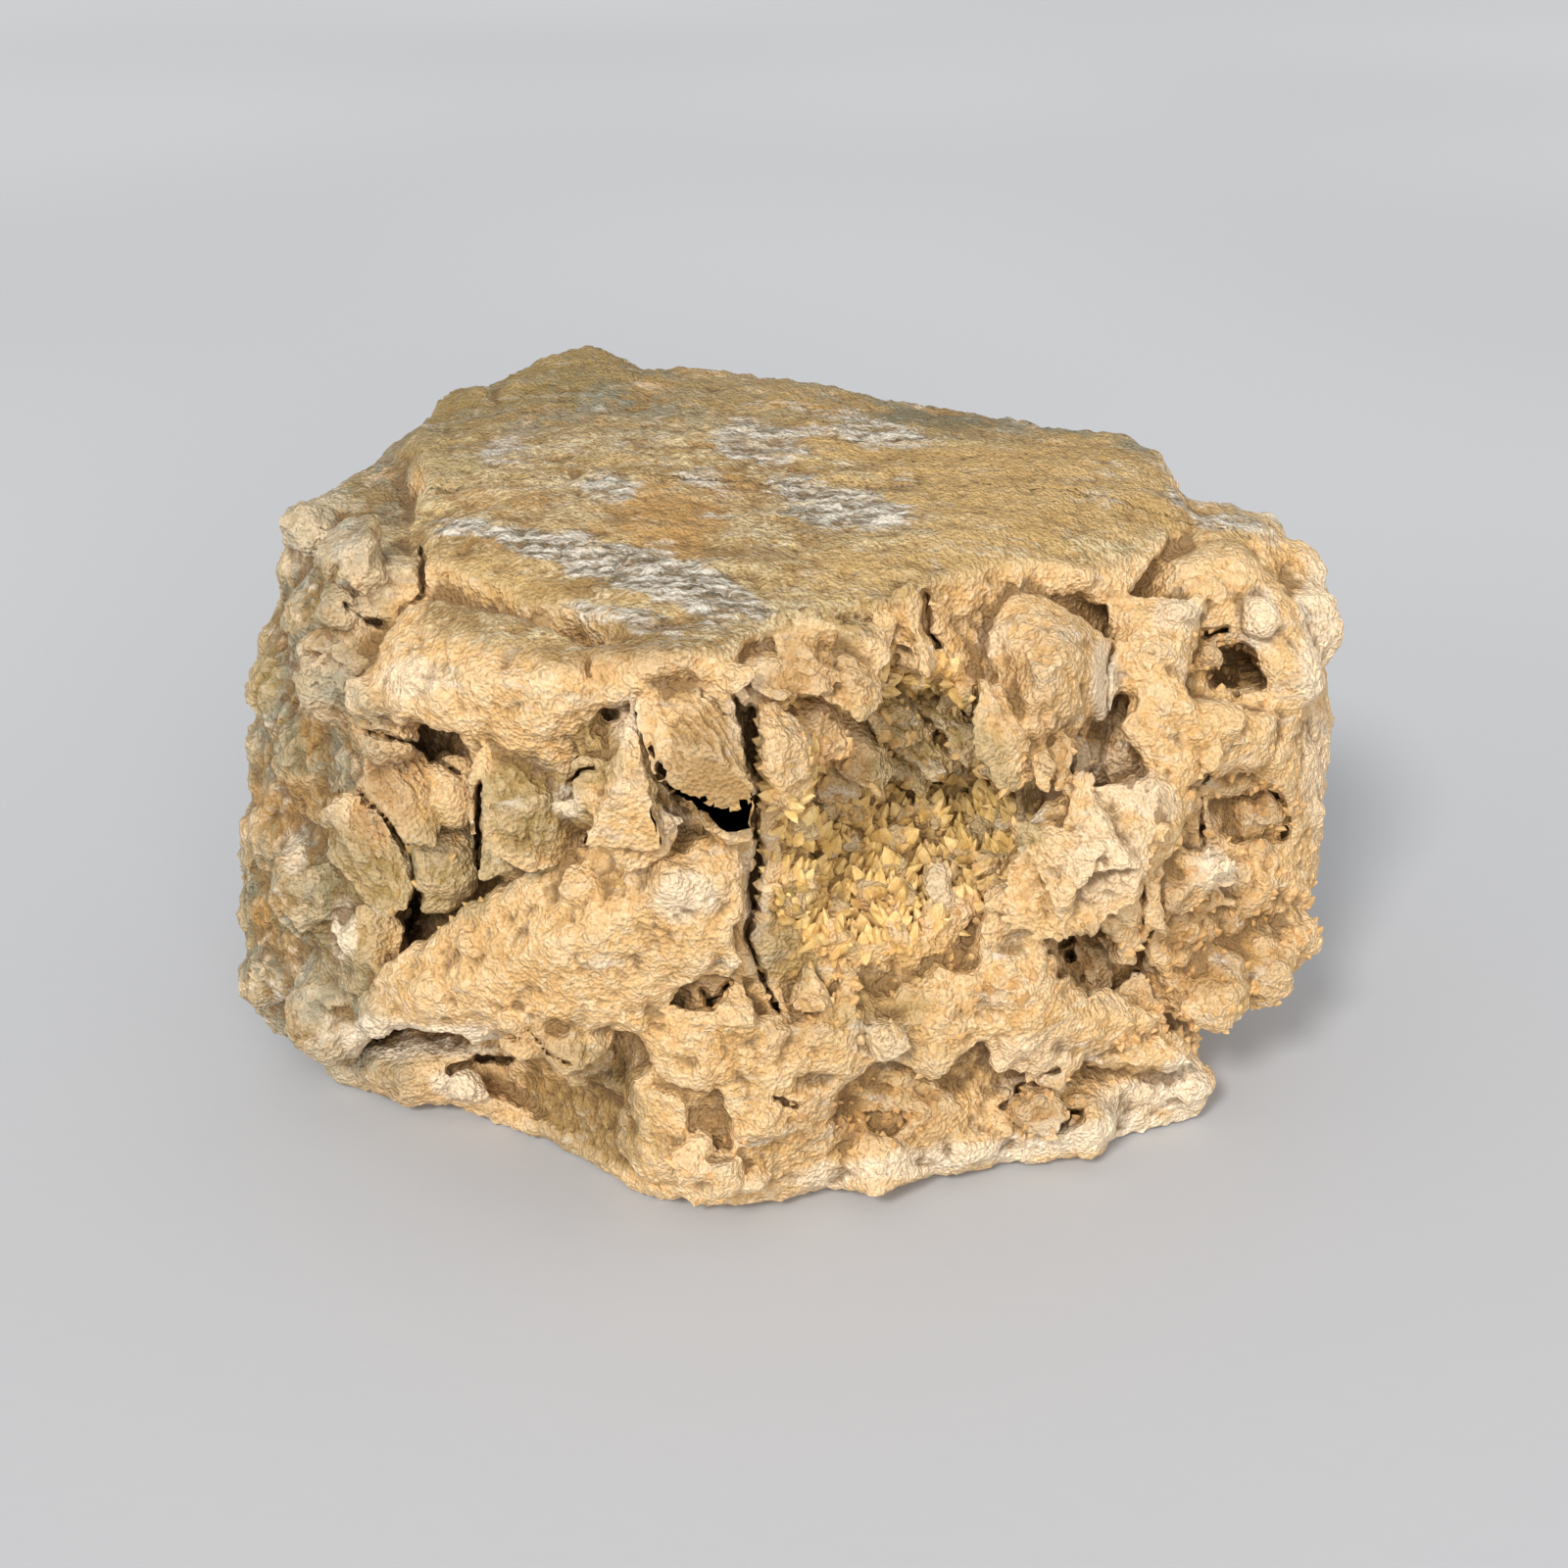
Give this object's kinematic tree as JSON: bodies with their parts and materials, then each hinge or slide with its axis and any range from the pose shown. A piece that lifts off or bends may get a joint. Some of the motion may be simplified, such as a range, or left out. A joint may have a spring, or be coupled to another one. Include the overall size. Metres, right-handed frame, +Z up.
{
  "type": "quartz specimen",
  "caption": "Hand-sized block of vein quartz with a flat stained wall-rock top and a broken front opened by hollows lined with small pointed crystals.",
  "frame": {"origin": "middle of the bounding box in plan, on the surface that the specimen rests on", "axes": "+X to the right along the broken front, which is the longest extent, +Y away from the front, +Z up"},
  "size_m": [0.1348, 0.0998, 0.0765],
  "materials": {
    "quartz_stone": "broken sugary quartz, cream and ochre, with an olive and grey wall-rock top",
    "crystal_crust": "small dull-lustred quartz crystals stained olive and yellow"
  },
  "bodies": {
    "root": {"quartz_stone": "quartz_stone", "crystal_crust": "crystal_crust"}
  },
  "joints": []
}
